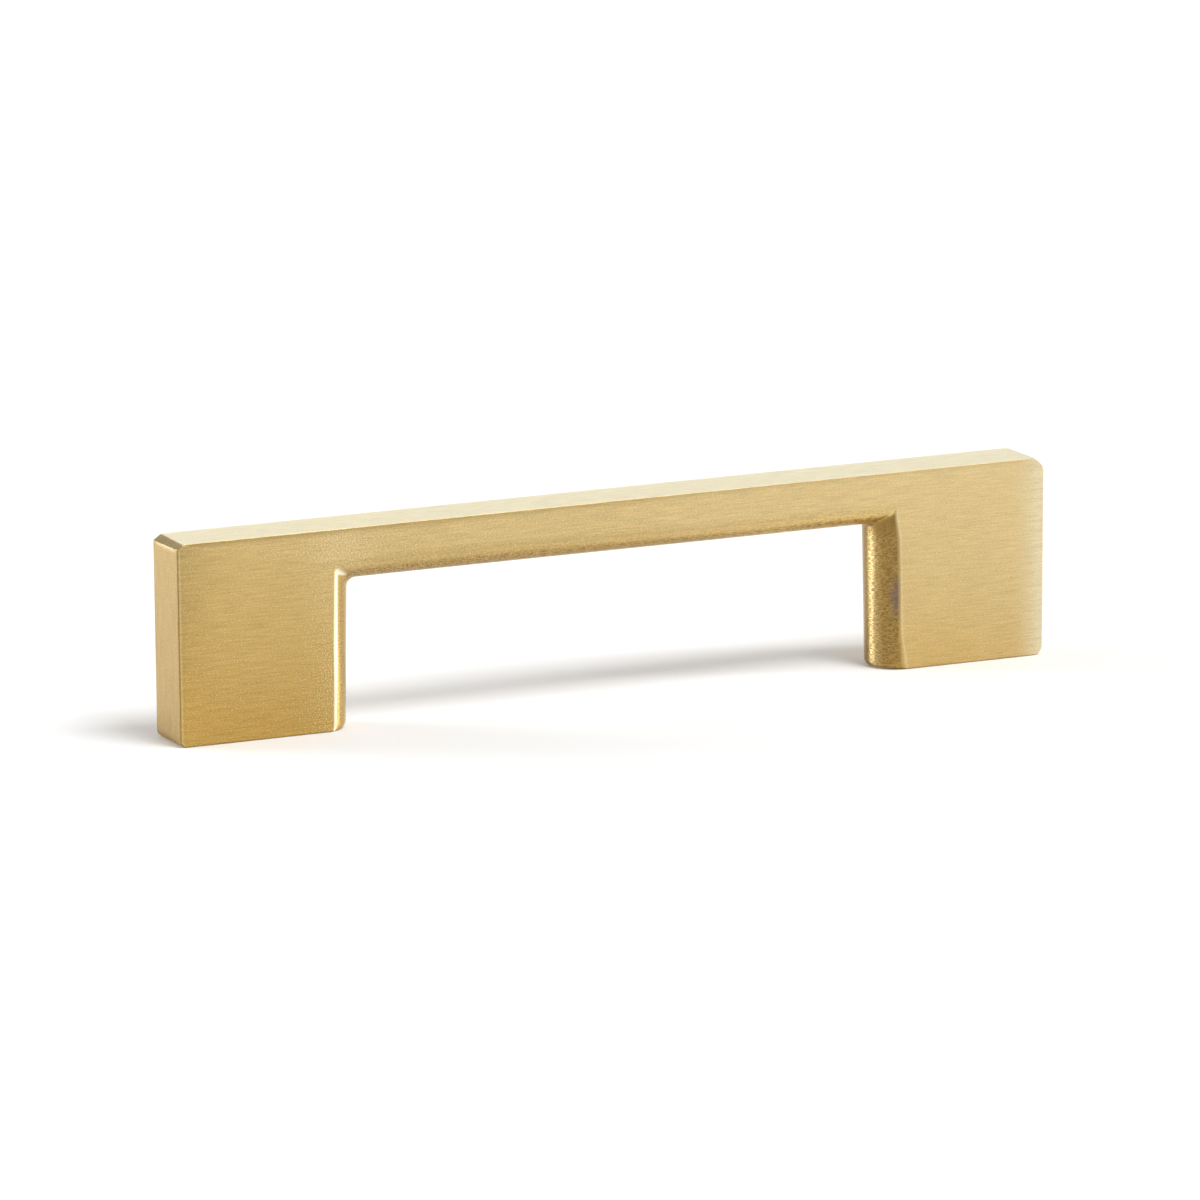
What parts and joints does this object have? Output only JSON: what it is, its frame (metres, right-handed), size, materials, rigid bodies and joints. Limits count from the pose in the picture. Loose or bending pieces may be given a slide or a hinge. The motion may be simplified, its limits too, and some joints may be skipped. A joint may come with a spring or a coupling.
{
  "type": "d pull handle",
  "caption": "Cabinet pull of solid brushed brass: a straight flat bar carried on wide flat legs, rounded on the inside where the fingers go, screwed on from behind the panel.",
  "frame": {"origin": "middle of the mounting plane, halfway between the screw holes", "axes": "+X along the bar, +Y through the thickness from the front face to the back face, +Z away from the panel that the handle is screwed to"},
  "size_m": [0.127, 0.008, 0.0271],
  "materials": {
    "brass": "satin brushed brass: fine lengthwise brush lines on the flat faces, coarser hand-filed marks on the inner rounds, a little tarnish beside one inner edge"
  },
  "bodies": {
    "root": {"pull_handle": "brass"}
  },
  "joints": []
}
